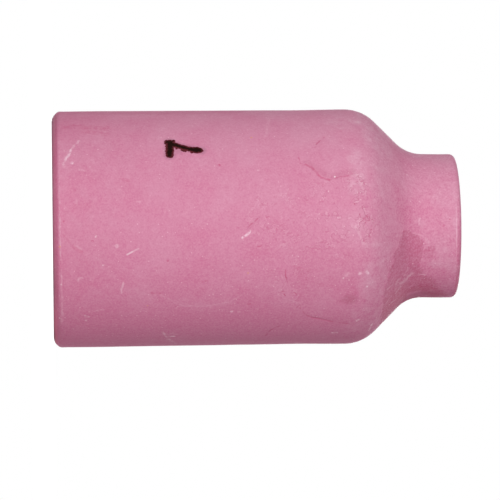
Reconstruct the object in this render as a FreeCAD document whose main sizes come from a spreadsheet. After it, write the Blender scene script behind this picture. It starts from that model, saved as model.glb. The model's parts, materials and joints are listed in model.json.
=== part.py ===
"""Gas nozzle of a TIG welding torch: the ceramic cup that screws over the torch's gas lens.

The nozzle is one hollow moulding of pink alumina, 42 mm long, with no other piece in it or on it. It stands on its
rear face, with +Z along its axis from the torch towards the weld, and its origin is the middle of the rear face.

Outside, from the rear: a rounded rear edge, a straight barrel, a 45 degree shoulder that a large round blends into
the barrel and a smaller one into the neck, and a short neck with a rounded lip.

Inside, from the rear: a lead-in chamfer, the socket that the gas lens screws into, a narrow seat where its thread
ends, the chamber round the lens screens, a 45 degree cone that speeds the gas up, a rounded entry into the throat,
and the throat with its rim broken. The socket is drawn at the thread's crests. The throat is 7/16 inch across, which
is what a size 7 nozzle is named for.
"""
import FreeCAD, Part
import math
import os

import Sketcher

PARTS_FOLDER = "parts"
NODE = "gas_nozzle"

# Driving dimensions in millimetres, and degrees where the name says angle.
DIMENSIONS = {
    "overall_length": 42.0,
    "barrel_diameter": 24.6,
    "shoulder_height": 32.15,
    "shoulder_angle": 45.0,
    "neck_diameter": 15.0,
    "shoulder_round": 4.4,
    "neck_round": 3.75,
    "rear_edge_round": 0.8,
    "lip_round": 0.55,
    "socket_diameter": 18.0,
    "socket_depth": 10.5,
    "socket_lead_in": 1.0,
    "chamber_diameter": 17.2,
    "cone_wall": 2.6,
    "throat_diameter": 11.11,
    "throat_round": 2.0,
    "throat_chamfer": 0.3,
}

START, END = 1, 2
SKETCH_ORIGIN = (-1, START)
SKETCH_AXIS = -2


def make_sheet(doc):
    """The spreadsheet of driving dimensions: a name, a value and an alias in each row."""
    sheet = doc.addObject("Spreadsheet::Sheet", "Dimensions")
    for row, (name, value) in enumerate(DIMENSIONS.items(), start=1):
        sheet.set(f"A{row}", name)
        sheet.set(f"B{row}", str(value))
        sheet.setAlias(f"B{row}", name)
    doc.recompute()
    return sheet


class HalfSection:
    """A closed half section on the body's XZ plane, where X is the distance from the axis and Y is the height.

    It runs through its corners in order. A corner may be rounded by an arc that touches both of its lines, and then
    it is still dimensioned where the two lines would have met, by a construction point there.
    """

    def __init__(self, body, name):
        """An empty sketch on the plane, with no corners yet."""
        self.sketch = body.newObject("Sketcher::SketchObject", name)
        plane = next(f for f in body.Origin.OriginFeatures if f.Role == "XZ_Plane")
        self.sketch.AttachmentSupport = (plane, [""])
        self.sketch.MapMode = "FlatFace"
        self.corner_marks = []

    def draw(self, corners, rounds):
        """Draws the lines through corners, and the arcs of rounds: a radius and its formula by corner number."""
        points = [FreeCAD.Vector(radius, height, 0) for radius, height in corners]
        count = len(points)
        arcs = {}
        for corner, (radius, _) in rounds.items():
            before, after = points[corner - 1], points[(corner + 1) % count]
            arcs[corner] = TangentArc(before, points[corner], after, radius)
        for corner, point in enumerate(points):
            following = (corner + 1) % count
            leaves = arcs[corner].leaves if corner in arcs else point
            arrives = arcs[following].meets if following in arcs else points[following]
            self.sketch.addGeometry(Part.LineSegment(leaves, arrives), False)
        self.corner_marks = [(line, START) for line in range(count)]
        for corner in range(count):
            before = (corner - 1) % count
            if corner in arcs:
                self.join_by_arc(before, corner, arcs[corner], *rounds[corner])
            else:
                self.add("Coincident", before, END, corner, START)

    def join_by_arc(self, before, after, arc, radius, formula):
        """Adds the arc between two lines, tangent to both, and the construction point of its corner."""
        arc_line = self.sketch.addGeometry(arc.curve, False)
        first, last = (START, END) if arc.anticlockwise else (END, START)
        self.add("Tangent", before, END, arc_line, first)
        self.add("Tangent", arc_line, last, after, START)
        self.dimension(f"round_{after}", formula, "Radius", arc_line, radius)
        mark = self.sketch.addGeometry(Part.Point(arc.corner), True)
        self.add("PointOnObject", mark, START, before)
        self.add("PointOnObject", mark, START, after)
        self.corner_marks[after] = (mark, START)

    def add(self, kind, *where):
        """Adds one constraint and returns its number."""
        return self.sketch.addConstraint(Sketcher.Constraint(kind, *where))

    def dimension(self, name, formula, kind, *where):
        """Adds a dimension under a name of its own and ties it to the spreadsheet."""
        number = self.add(kind, *where)
        self.sketch.renameConstraint(number, name)
        self.sketch.setExpression(f"Constraints.{name}", formula)

    def set_radius(self, corner, name, formula, value):
        """Dimensions a corner's distance from the nozzle's axis."""
        self.dimension(name, formula, "DistanceX", *SKETCH_ORIGIN, *self.corner_marks[corner], value)

    def set_height(self, corner, name, formula, value):
        """Dimensions a corner's height above the rear face."""
        self.dimension(name, formula, "DistanceY", *SKETCH_ORIGIN, *self.corner_marks[corner], value)

    def spin(self, body, kind, name):
        """A full turn about the nozzle's axis: PartDesign::Revolution adds it and PartDesign::Groove cuts it."""
        feature = body.newObject(kind, name)
        feature.Profile = self.sketch
        feature.ReferenceAxis = (self.sketch, ["V_Axis"])
        feature.Angle = 360
        self.sketch.Visibility = False
        body.Document.recompute()
        return feature


class TangentArc:
    """The arc of a given radius that touches the line into a corner and the line out of it."""

    def __init__(self, before, corner, after, radius):
        """Works the arc out: where it meets the first line, where it leaves on the second, and which way it turns."""
        back = (before - corner).normalize()
        ahead = (after - corner).normalize()
        half = back.getAngle(ahead) / 2
        centre = corner + (back + ahead).normalize() * (radius / math.sin(half))
        self.corner = corner
        self.meets = corner + back * (radius / math.tan(half))
        self.leaves = corner + ahead * (radius / math.tan(half))
        self.anticlockwise = ahead.cross(back).z > 0
        first, last = (self.meets, self.leaves) if self.anticlockwise else (self.leaves, self.meets)
        start = math.atan2(first.y - centre.y, first.x - centre.x)
        stop = math.atan2(last.y - centre.y, last.x - centre.x)
        if stop < start:
            stop += 2 * math.pi
        circle = Part.Circle(centre, FreeCAD.Vector(0, 0, 1), radius)
        self.curve = Part.ArcOfCircle(circle, start, stop)


def outside_section(body, size):
    """Half section of the outside: rear face, barrel, rounded shoulder cone, neck and front face."""
    barrel = size.barrel_diameter / 2
    neck = size.neck_diameter / 2
    neck_start = size.shoulder_height + (barrel - neck) / math.tan(math.radians(size.shoulder_angle))
    axis_corner, rear_corner, shoulder_corner, neck_corner, lip_corner, front_corner = range(6)
    section = HalfSection(body, "OutsideSection")
    section.draw(
        [
            (0, 0),
            (barrel, 0),
            (barrel, size.shoulder_height),
            (neck, neck_start),
            (neck, size.overall_length),
            (0, size.overall_length),
        ],
        {
            shoulder_corner: (size.shoulder_round, "Dimensions.shoulder_round"),
            neck_corner: (size.neck_round, "Dimensions.neck_round"),
        },
    )
    section.add("Coincident", axis_corner, START, *SKETCH_ORIGIN)
    section.add("Horizontal", axis_corner)
    section.add("Vertical", rear_corner)
    section.add("Vertical", neck_corner)
    section.add("Horizontal", lip_corner)
    section.add("PointOnObject", front_corner, START, SKETCH_AXIS)
    section.set_radius(rear_corner, "barrel_radius", "Dimensions.barrel_diameter / 2", barrel)
    section.set_radius(neck_corner, "neck_radius", "Dimensions.neck_diameter / 2", neck)
    section.set_height(shoulder_corner, "shoulder_height", "Dimensions.shoulder_height", size.shoulder_height)
    section.set_height(
        neck_corner,
        "neck_start",
        "Dimensions.shoulder_height"
        " + (Dimensions.barrel_diameter - Dimensions.neck_diameter) / 2 / tan(Dimensions.shoulder_angle * 1 deg)",
        neck_start,
    )
    section.set_height(lip_corner, "overall_length", "Dimensions.overall_length", size.overall_length)
    return section


def inside_section(body, size):
    """Half section of the hollow: socket, seat, lens chamber, cone and throat, with the throat's entry rounded.

    The cone keeps the shoulder's angle, and its distance from the shoulder, square to both, is the cone wall.
    """
    socket = size.socket_diameter / 2
    chamber = size.chamber_diameter / 2
    throat = size.throat_diameter / 2
    lean = math.radians(size.shoulder_angle)
    seat_top = size.socket_depth + socket - chamber
    cone_start = (
        size.shoulder_height
        + (size.barrel_diameter / 2 - chamber) / math.tan(lean)
        - size.cone_wall / math.sin(lean)
    )
    throat_start = cone_start + (chamber - throat) / math.tan(lean)
    axis_corner, mouth_corner, seat_corner, chamber_corner, cone_corner, throat_corner, front, last = range(8)
    section = HalfSection(body, "InsideSection")
    section.draw(
        [
            (0, 0),
            (socket, 0),
            (socket, size.socket_depth),
            (chamber, seat_top),
            (chamber, cone_start),
            (throat, throat_start),
            (throat, size.overall_length),
            (0, size.overall_length),
        ],
        {throat_corner: (size.throat_round, "Dimensions.throat_round")},
    )
    section.add("Coincident", axis_corner, START, *SKETCH_ORIGIN)
    section.add("Horizontal", axis_corner)
    section.add("Vertical", mouth_corner)
    section.add("Vertical", chamber_corner)
    section.add("Vertical", throat_corner)
    section.add("Horizontal", front)
    section.add("PointOnObject", last, START, SKETCH_AXIS)
    section.set_radius(mouth_corner, "socket_radius", "Dimensions.socket_diameter / 2", socket)
    section.set_radius(chamber_corner, "chamber_radius", "Dimensions.chamber_diameter / 2", chamber)
    section.set_radius(throat_corner, "throat_radius", "Dimensions.throat_diameter / 2", throat)
    section.set_height(seat_corner, "socket_depth", "Dimensions.socket_depth", size.socket_depth)
    section.set_height(
        chamber_corner,
        "seat_top",
        "Dimensions.socket_depth + (Dimensions.socket_diameter - Dimensions.chamber_diameter) / 2",
        seat_top,
    )
    cone_start_formula = (
        "Dimensions.shoulder_height"
        " + (Dimensions.barrel_diameter - Dimensions.chamber_diameter) / 2 / tan(Dimensions.shoulder_angle * 1 deg)"
        " - Dimensions.cone_wall / sin(Dimensions.shoulder_angle * 1 deg)"
    )
    section.set_height(cone_corner, "cone_start", cone_start_formula, cone_start)
    section.set_height(
        throat_corner,
        "throat_start",
        cone_start_formula
        + " + (Dimensions.chamber_diameter - Dimensions.throat_diameter) / 2 / tan(Dimensions.shoulder_angle * 1 deg)",
        throat_start,
    )
    section.set_height(front, "front_height", "Dimensions.overall_length", size.overall_length)
    return section


def circle_edge(feature, radius, height):
    """Name of the feature's circular edge of that radius at that height."""
    near = 1e-4
    for number, edge in enumerate(feature.Shape.Edges, start=1):
        curve = edge.Curve
        if isinstance(curve, Part.Circle) and abs(curve.Radius - radius) < near:
            if abs(curve.Center.z - height) < near:
                return f"Edge{number}"
    raise ValueError(f"no circle of radius {radius} at height {height} on {feature.Name}")


def dress_edge(body, kind, name, edge_at, amount, formula):
    """Rounds or breaks one circular edge, given as (radius, height), of the body's last feature.

    kind is PartDesign::Fillet, whose amount is its Radius, or PartDesign::Chamfer, whose amount is its Size.
    """
    base = body.Tip
    dressing = body.newObject(kind, name)
    dressing.Base = (base, [circle_edge(base, *edge_at)])
    dressing.setExpression(amount, formula)
    body.Document.recompute()
    return dressing


def make_nozzle(doc, size):
    """The nozzle's body: the outside spun as a solid, the hollow cut from it, and then the rims at both ends."""
    body = doc.addObject("PartDesign::Body", "GasNozzle")
    body.Label = NODE
    blank = outside_section(body, size).spin(body, "PartDesign::Revolution", "Blank")
    blank_volume = blank.Shape.Volume
    hollow = inside_section(body, size).spin(body, "PartDesign::Groove", "Hollow")
    if hollow.Shape.Volume > 0.8 * blank_volume:
        raise ValueError("the hollow was not cut")

    rear_edge = (size.barrel_diameter / 2, 0)
    socket_edge = (size.socket_diameter / 2, 0)
    lip_edge = (size.neck_diameter / 2, size.overall_length)
    throat_edge = (size.throat_diameter / 2, size.overall_length)
    fillet, chamfer = "PartDesign::Fillet", "PartDesign::Chamfer"
    dress_edge(body, fillet, "RearEdgeRound", rear_edge, "Radius", "Dimensions.rear_edge_round")
    dress_edge(body, fillet, "LipRound", lip_edge, "Radius", "Dimensions.lip_round")
    dress_edge(body, chamfer, "ThroatChamfer", throat_edge, "Size", "Dimensions.throat_chamfer")
    dress_edge(body, chamfer, "SocketLeadIn", socket_edge, "Size", "Dimensions.socket_lead_in")
    return body


def check_document(doc):
    """Stops if any object of the document failed to compute or any sketch is left loose."""
    for item in doc.Objects:
        if "Invalid" in item.State or "Error" in item.State:
            raise ValueError(f"{item.Name} failed: {item.State}")
        if item.TypeId == "Sketcher::SketchObject":
            if item.solve() != 0 or not item.FullyConstrained:
                raise ValueError(f"{item.Name} is not fully constrained")


def write_part(body):
    """Writes the body's shape as a STEP file named after its node, once it is a valid solid."""
    shape = body.Shape
    if shape.isNull() or not shape.isValid() or len(shape.Solids) != 1:
        raise ValueError(f"{body.Label} is not one valid solid")
    os.makedirs(PARTS_FOLDER, exist_ok=True)
    shape.exportStep(os.path.join(PARTS_FOLDER, f"{body.Label}.step"))
    box = shape.optimalBoundingBox()
    print(f"{body.Label}: {box.XLength:.2f} x {box.YLength:.2f} x {box.ZLength:.2f} mm, {shape.Volume:.1f} mm3")


def main():
    """Builds the document and writes the part."""
    doc = FreeCAD.newDocument("TorchGasNozzle")
    size = make_sheet(doc)
    nozzle = make_nozzle(doc, size)
    doc.recompute()
    check_document(doc)
    write_part(nozzle)


main()
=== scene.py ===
"""Looks of a ceramic gas nozzle: the moulded body with its thread, the inked size number, the finish of the
sintered pink alumina, and the plain white studio that it stands in.

Sizes are in millimetres. Heights run up the nozzle's axis from its rear face, and turns are degrees round the
axis from the side that faces the camera. Meshes are scaled to metres where they are made.
"""

import json
import logging
import math
from collections.abc import Iterator
from dataclasses import dataclass
from enum import Enum
from functools import reduce

import bpy
import numpy as np
from mathutils import Matrix, Vector, noise
from mathutils.bvhtree import BVHTree


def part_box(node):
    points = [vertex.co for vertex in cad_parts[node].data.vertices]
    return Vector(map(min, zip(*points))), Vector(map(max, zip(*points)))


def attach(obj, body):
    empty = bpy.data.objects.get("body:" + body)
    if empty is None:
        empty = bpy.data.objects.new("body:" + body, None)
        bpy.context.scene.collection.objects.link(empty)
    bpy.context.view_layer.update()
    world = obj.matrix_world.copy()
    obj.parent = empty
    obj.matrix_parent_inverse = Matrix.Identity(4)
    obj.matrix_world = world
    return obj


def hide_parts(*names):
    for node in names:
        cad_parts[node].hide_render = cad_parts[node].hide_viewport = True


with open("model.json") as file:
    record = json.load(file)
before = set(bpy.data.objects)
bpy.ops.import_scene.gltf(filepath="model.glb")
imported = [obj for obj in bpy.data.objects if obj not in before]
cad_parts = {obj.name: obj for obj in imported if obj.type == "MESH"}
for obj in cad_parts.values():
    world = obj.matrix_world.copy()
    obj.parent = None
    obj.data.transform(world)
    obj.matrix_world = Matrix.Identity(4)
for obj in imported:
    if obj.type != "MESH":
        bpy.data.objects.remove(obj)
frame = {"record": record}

MM = 0.001
NODE = "gas_nozzle"
BODY = "root"

Colour = tuple[float, float, float]
Flat = tuple[float, float, float]
Place = tuple[float, float]
Span = tuple[float, float]
Node = bpy.types.Node
Socket = bpy.types.NodeSocket
Sockets = bpy.types.bpy_prop_collection

log = logging.getLogger("gas_nozzle")


@dataclass(frozen=True)
class Ramp:
    """A smooth change of one value with another.

    Attributes:
        start: Where it starts.
        end: Where it ends.
        first: The result up to the start.
        last: The result from the end on.
    """

    start: float
    end: float
    first: float = 0.0
    last: float = 1.0


class Wiring:
    """Adds nodes to one tree, of shaders or of shapes, and plugs values or other nodes into them.

    MIX_SOCKETS holds a Mix node's sockets for a kind of value: its factor, first and second value, and result.
    """

    MIX_SOCKETS = {"VECTOR": (0, 4, 5, 1), "RGBA": (0, 6, 7, 2)}

    def __init__(self, tree: bpy.types.NodeTree) -> None:
        """Keeps the tree that nodes are added to."""
        self.tree = tree

    def plug(self, socket: Socket, value: object) -> None:
        """Gives an input its value.

        Args:
            socket: The input.
            value: A node, whose first output is taken, an output, or a plain value.
        """
        if isinstance(value, Node):
            value = value.outputs[0]
        if isinstance(value, Socket):
            self.tree.links.new(value, socket)
        else:
            socket.default_value = value

    def add(self, kind: str, plugs: dict | None = None, **settings: object) -> Node:
        """Adds a node.

        Args:
            kind: Blender's name for the kind of node.
            plugs: Values for its inputs, by the input's name or number.
            **settings: The node's own settings.

        Returns:
            The new node.
        """
        node = self.tree.nodes.new(kind)
        for name, value in settings.items():
            setattr(node, name, value)
        for name, value in (plugs or {}).items():
            self.plug(node.inputs[name], value)
        return node

    def math(self, operation: str, *values: object) -> Socket:
        """Adds a Math node and returns its output."""
        return self.add("ShaderNodeMath", dict(enumerate(values)), operation=operation).outputs[0]

    def times(self, *values: object) -> Socket:
        """Multiplies values, in order."""
        return reduce(lambda product, value: self.math("MULTIPLY", product, value), values)

    def plus(self, *values: object) -> Socket:
        """Adds values up, in order."""
        return reduce(lambda total, value: self.math("ADD", total, value), values)

    def share(self, value: object) -> Socket:
        """Keeps a value between 0 and 1."""
        return self.add("ShaderNodeClamp", {0: value}).outputs[0]

    def centred(self, value: object) -> Socket:
        """Turns a value from 0 to 1 into one from -1 to 1."""
        return self.math("MULTIPLY_ADD", value, 2.0, -1.0)

    def join(self, x: object = 0.0, y: object = 0.0, z: object = 0.0) -> Socket:
        """Makes a vector of three numbers."""
        return self.add("ShaderNodeCombineXYZ", {0: x, 1: y, 2: z}).outputs[0]

    def split(self, vector: object) -> Sockets:
        """Gives a vector's three numbers."""
        return self.add("ShaderNodeSeparateXYZ", {0: vector}).outputs

    def vector(self, operation: str, *values: object, scale: object = None) -> Socket:
        """Adds a Vector Math node.

        Args:
            operation: The node's operation.
            *values: Its vectors.
            scale: The factor of a SCALE operation.

        Returns:
            Its number for an operation that gives one, and otherwise its vector.
        """
        node = self.add("ShaderNodeVectorMath", dict(enumerate(values)), operation=operation)
        if scale is not None:
            self.plug(node.inputs["Scale"], scale)
        return node.outputs["Value" if operation in ("LENGTH", "DOT_PRODUCT", "DISTANCE") else "Vector"]

    def remap(self, value: object, low: object, high: object, to_low: object, to_high: object) -> Socket:
        """Turns a range of values into another, smoothly and without leaving it.

        Args:
            value: What to turn.
            low: The value that gives to_low.
            high: The value that gives to_high.
            to_low: The result at low.
            to_high: The result at high.

        Returns:
            The result's output.
        """
        plugs = dict(enumerate((value, low, high, to_low, to_high)))
        return self.add("ShaderNodeMapRange", plugs, interpolation_type="SMOOTHSTEP", clamp=False).outputs[0]

    def ramp(self, value: object, ramp: Ramp) -> Socket:
        """Lets a value change as a ramp says."""
        return self.remap(value, ramp.start, ramp.end, ramp.first, ramp.last)

    def mix(self, kind: str, factor: object, first: object, second: object, way: str = "MIX") -> Socket:
        """Mixes two values.

        Args:
            kind: VECTOR or RGBA.
            factor: How much of the second value, from 0 to 1.
            first: The first value.
            second: The second value.
            way: How colours are mixed.

        Returns:
            The mixed value's output.
        """
        node = self.add("ShaderNodeMix", data_type=kind, blend_type=way)
        *inputs, output = self.MIX_SOCKETS[kind]
        for index, value in zip(inputs, (factor, first, second)):
            self.plug(node.inputs[index], value)
        return node.outputs[output]

    def blend(self, factor: object, first: object, second: object, way: str = "MIX") -> Socket:
        """Mixes two colours, given as outputs or as plain red, green and blue."""
        colours = ((*colour, 1.0) if isinstance(colour, tuple) else colour for colour in (first, second))
        return self.mix("RGBA", factor, *colours, way)


def new_group(
        name: str, kind: str, inputs: dict[str, str], outputs: dict[str, str]) -> tuple[Wiring, Node, Node]:
    """Starts a node group with named inputs and outputs.

    Args:
        name: The group's name.
        kind: ShaderNodeTree or GeometryNodeTree.
        inputs: Each input's name and its kind of value, such as Float.
        outputs: Each output's name and its kind of value.

    Returns:
        The group's wiring, its input node and its output node.
    """
    tree = bpy.data.node_groups.new(name, kind)
    for direction, sockets in (("INPUT", inputs), ("OUTPUT", outputs)):
        for label, value_kind in sockets.items():
            tree.interface.new_socket(label, in_out=direction, socket_type=f"NodeSocket{value_kind}")
    return Wiring(tree), tree.nodes.new("NodeGroupInput"), tree.nodes.new("NodeGroupOutput")


def put_in_scene(name: str, data: bpy.types.ID) -> bpy.types.Object:
    """Makes an object and puts it in the scene.

    Args:
        name: Its name.
        data: Its mesh, lamp or camera.

    Returns:
        The object.
    """
    made = bpy.data.objects.new(name, data)
    bpy.context.scene.collection.objects.link(made)
    return made


@dataclass(frozen=True)
class NozzleSizes:
    """Sizes of the nozzle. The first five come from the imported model, and the rest follow the photograph."""

    length: float
    barrel: float
    socket: float
    chamber: float
    throat: float
    neck: float = 7.5
    shoulder_height: float = 32.21
    shoulder_round: float = 4.4
    neck_round: float = 3.75
    rear_round: float = 1.2
    rear_bevel: float = 0.58
    rear_bevel_height: float = 0.638
    bevel_round: float = 0.5
    lip_round: float = 0.55
    cone_wall: float = 2.6
    throat_round: float = 2.0
    throat_chamfer: float = 0.3
    socket_depth: float = 10.5
    seat_height: float = 0.4
    lead_in: float = 1.0
    thread_depth: float = 0.7
    thread_pitch: float = 25.4 / 14
    thread_run_out: float = 0.9

    @classmethod
    def from_frame(cls, record: dict) -> "NozzleSizes":
        """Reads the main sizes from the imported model.

        Args:
            record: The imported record.

        Returns:
            The nozzle's sizes.
        """
        low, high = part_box(NODE)
        radii = {mount["name"]: mount["dims"].get("r_mm") for mount in record["mounts"]}
        return cls(
            length=(high.z - low.z) / MM,
            barrel=high.x / MM,
            socket=radii["torch_thread"],
            chamber=radii["lens_chamber"],
            throat=radii["orifice"],
        )


@dataclass(frozen=True)
class Corner:
    """One corner of the nozzle's half section.

    Attributes:
        up: Its height.
        out: Its distance from the axis.
        rounding: The radius that it is rounded to.
        step: The longest step between points on the straight run after it.
    """

    up: float
    out: float
    rounding: float = 0.12
    step: float = 1.0


class HalfSection:
    """The closed outline that is spun about the axis to make the nozzle."""

    ARC_STEP = math.radians(6.5)
    LEAST_ARC_STEPS = 3

    def __init__(self, corners: list[Corner]) -> None:
        """Keeps the corners, in order round the outline."""
        self.corners = corners

    def arc(self, index: int) -> list[Vector]:
        """Rounds one corner.

        Args:
            index: The corner's place in the list.

        Returns:
            The points of its arc, as (up, out).
        """
        here = self.corners[index]
        point = Vector((here.up, here.out))
        arms = []
        for other in (self.corners[index - 1], self.corners[(index + 1) % len(self.corners)]):
            arms.append((Vector((other.up, other.out)) - point).normalized())
        turn = math.pi - arms[0].angle(arms[1])
        centre = point + (arms[0] + arms[1]).normalized() * (here.rounding / math.cos(turn / 2))
        first, last = (point + arm * (here.rounding * math.tan(turn / 2)) - centre for arm in arms)
        steps = max(self.LEAST_ARC_STEPS, math.ceil(turn / self.ARC_STEP))
        return [centre + first.slerp(last, step / steps) * here.rounding for step in range(steps + 1)]

    def points(self) -> list[Vector]:
        """Rounds every corner and divides the straight runs between them.

        Returns:
            The outline's points, as (up, out), in order.
        """
        arcs = [self.arc(index) for index in range(len(self.corners))]
        outline: list[Vector] = []
        for corner, arc, following in zip(self.corners, arcs, arcs[1:] + arcs[:1]):
            outline += arc
            run = following[0] - arc[-1]
            steps = max(1, math.ceil(run.length / corner.step))
            outline += [arc[-1] + run * (step / steps) for step in range(1, steps)]
        return outline


@dataclass(frozen=True)
class Swell:
    """A place where the fired barrel is a little fuller, or thinner, all the way round."""

    height: float
    amount: float
    spread: float

    def at(self, height: float) -> float:
        """Gives how far the barrel stands out at a height."""
        return self.amount * math.exp(-(((height - self.height) / self.spread) ** 2))


@dataclass(frozen=True)
class Lean:
    """A stretch over which the fired nozzle comes to lean to one side.

    Attributes:
        name: What leans.
        start: The height where it starts.
        end: The height from which it leans in full.
        amount: How far to the side it then stands.
    """

    name: str
    start: float
    end: float
    amount: float


@dataclass
class GasNozzle:
    """The ceramic moulding: one half section spun about the axis, with the thread cut into its socket.

    Attributes:
        segments: How many steps the spin has.
        barrel_rows, chamber_rows, thread_rows: The longest step up those parts of the outline.
        groove_wall: The groove's depth over the way from its middle, where 1 is midway to the next groove.
        ungrooved_share: The share of the run-out, next to the socket's end, that has no groove.
        barrel_shrinkage: How much smaller the fired barrel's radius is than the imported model's.
        swell_from: The distance from the axis beyond which the swells count.
        spin_radius: The radius of the circle that the outline is spun along.
        unevenness: How far at most the surface strays from true.
    """

    sizes: NozzleSizes
    name: str = "nozzle_body"
    segments: int = 320
    barrel_rows: float = 0.7
    chamber_rows: float = 1.5
    thread_rows: float = 0.13
    groove_wall: Ramp = Ramp(0.62, 0.2)
    ungrooved_share: float = 0.4
    barrel_shrinkage: float = 0.045
    swells: tuple[Swell, ...] = (
        Swell(5.0, 0.03, 4.0), Swell(20.0, -0.022, 5.0), Swell(25.5, -0.045, 3.0), Swell(0.86, 0.014, 0.12))
    swell_from: float = 10.0
    spin_radius: float = 9.0
    unevenness: float = 0.011
    unevenness_size: float = 7.0
    unevenness_seed: float = 7.0
    leans: tuple[Lean, ...] = (
        Lean("Cone", 30.5, 34.0, -0.06), Lean("Neck", 36.0, 40.5, 0.09), Lean("Edge", 0.9, 0.0, 0.045))

    def outline(self) -> list[Vector]:
        """Draws the half section: up the outside to the tip, and back down the inside.

        Returns:
            Its points, as (up, out).
        """
        size = self.sizes
        barrel = size.barrel - self.barrel_shrinkage
        inner_cone = size.shoulder_height + barrel - size.cone_wall * math.sqrt(2)
        section = HalfSection([
            Corner(0.0, barrel - size.rear_bevel, size.rear_round),
            Corner(size.rear_bevel_height, barrel, size.bevel_round, self.barrel_rows),
            Corner(size.shoulder_height, barrel, size.shoulder_round),
            Corner(size.shoulder_height + barrel - size.neck, size.neck, size.neck_round),
            Corner(size.length, size.neck, size.lip_round),
            Corner(size.length, size.throat + size.throat_chamfer),
            Corner(size.length - size.throat_chamfer, size.throat),
            Corner(inner_cone - size.throat, size.throat, size.throat_round),
            Corner(inner_cone - size.chamber, size.chamber, step=self.chamber_rows),
            Corner(size.socket_depth + size.seat_height, size.chamber),
            Corner(size.socket_depth, size.socket, step=self.thread_rows),
            Corner(size.lead_in, size.socket, step=self.thread_rows),
            Corner(0.0, size.socket + size.lead_in),
        ])
        points = section.points()
        for point in points:
            if point.y > self.swell_from:
                point.y += sum(swell.at(point.x) for swell in self.swells)
        return points

    def wire(self) -> bpy.types.Object:
        """Makes the outline as a closed wire, laid out for the spin.

        Returns:
            An object that holds the wire.
        """
        flat = [((point.y - self.spin_radius) * MM, -point.x * MM, 0.0) for point in self.outline()]
        edges = [(index, (index + 1) % len(flat)) for index in range(len(flat))]
        mesh = bpy.data.meshes.new(self.name)
        mesh.from_pydata(flat, edges, [])
        return put_in_scene(self.name, mesh)

    def lengths(self) -> dict[str, float]:
        """Names the lengths that the geometry nodes take.

        Returns:
            Each input's name and its length.
        """
        size = self.sizes
        named = {
            "Spin radius": self.spin_radius, "Socket radius": size.socket, "Thread depth": size.thread_depth,
            "Thread pitch": size.thread_pitch, "Thread end": size.socket_depth, "Run-out": size.thread_run_out,
            "Unevenness": self.unevenness, "Unevenness size": self.unevenness_size}
        for lean in self.leans:
            named |= {
                f"{lean.name} from": lean.start, f"{lean.name} to": lean.end, f"{lean.name} lean": lean.amount}
        return named

    def tree(self) -> bpy.types.NodeTree:
        """Builds the geometry nodes that spin the outline, cut the thread and add the unevenness of firing.

        Returns:
            The tree, with a named input for each size.
        """
        inputs = {"Outline": "Geometry", "Segments": "Int", "Seed": "Float", "Finish": "Material"}
        wires, given, result = new_group(
            "Spun moulding", "GeometryNodeTree", inputs | dict.fromkeys(self.lengths(), "Float"),
            {"Moulding": "Geometry"})
        size = given.outputs
        profile = wires.add("GeometryNodeMeshToCurve", {"Mesh": size["Outline"]})
        ring = wires.add("GeometryNodeCurvePrimitiveCircle", {
            "Resolution": size["Segments"], "Radius": size["Spin radius"]})
        spun = wires.add("GeometryNodeCurveToMesh", {"Curve": ring, "Profile Curve": profile})
        place = wires.add("GeometryNodeInputPosition")
        x, y, z = wires.split(place)
        radius = wires.vector("LENGTH", wires.join(x, y))
        cut = self.thread_reach(wires, size, wires.math("ARCTAN2", y, x), z)
        cut = wires.times(cut, wires.math("LESS_THAN", z, size["Thread end"]))
        bump = wires.add("ShaderNodeTexNoise", {
            "Vector": place, "W": size["Seed"], "Scale": wires.math("DIVIDE", 1.0, size["Unevenness size"]),
            "Detail": 1.0}, noise_dimensions="4D")
        bump = wires.times(wires.centred(bump), size["Unevenness"])
        widened = wires.math("DIVIDE", wires.plus(wires.math("MAXIMUM", radius, cut), bump), radius)
        lean = wires.plus(*(
            wires.remap(z, size[f"{lean.name} from"], size[f"{lean.name} to"], 0.0, size[f"{lean.name} lean"])
            for lean in self.leans))
        moved = wires.join(wires.math("MULTIPLY_ADD", x, widened, lean), wires.times(y, widened), z)
        shaped = wires.add("GeometryNodeSetPosition", {"Geometry": spun, "Position": moved})
        outward = wires.add("GeometryNodeFlipFaces", {"Mesh": shaped})
        smooth = wires.add("GeometryNodeSetShadeSmooth", {"Geometry": outward})
        real = wires.add("GeometryNodeRealizeInstances", {"Geometry": smooth})
        finished = wires.add("GeometryNodeSetMaterial", {"Geometry": real, "Material": size["Finish"]})
        wires.plug(result.inputs["Moulding"], finished)
        return wires.tree

    def thread_reach(self, wires: Wiring, size: Sockets, angle: object, height: object) -> Socket:
        """Works out how far from the axis the right-hand thread reaches.

        Args:
            wires: The tree's wiring.
            size: The tree's named inputs.
            angle: The turn round the axis, in radians.
            height: The height, in metres.

        Returns:
            The radius of the thread's surface.
        """
        half = 0.5
        turns = wires.math("DIVIDE", angle, math.tau)
        phase = wires.math("SUBTRACT", wires.math("DIVIDE", height, size["Thread pitch"]), turns)
        off_groove = wires.math("DIVIDE", wires.math("PINGPONG", phase, half), half)
        groove = wires.ramp(off_groove, self.groove_wall)
        before_end = wires.math("SUBTRACT", size["Thread end"], height)
        plain = wires.times(size["Run-out"], self.ungrooved_share)
        fade = wires.remap(before_end, plain, size["Run-out"], 0.0, 1.0)
        return wires.plus(size["Socket radius"], wires.times(groove, fade, size["Thread depth"]))

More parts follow.
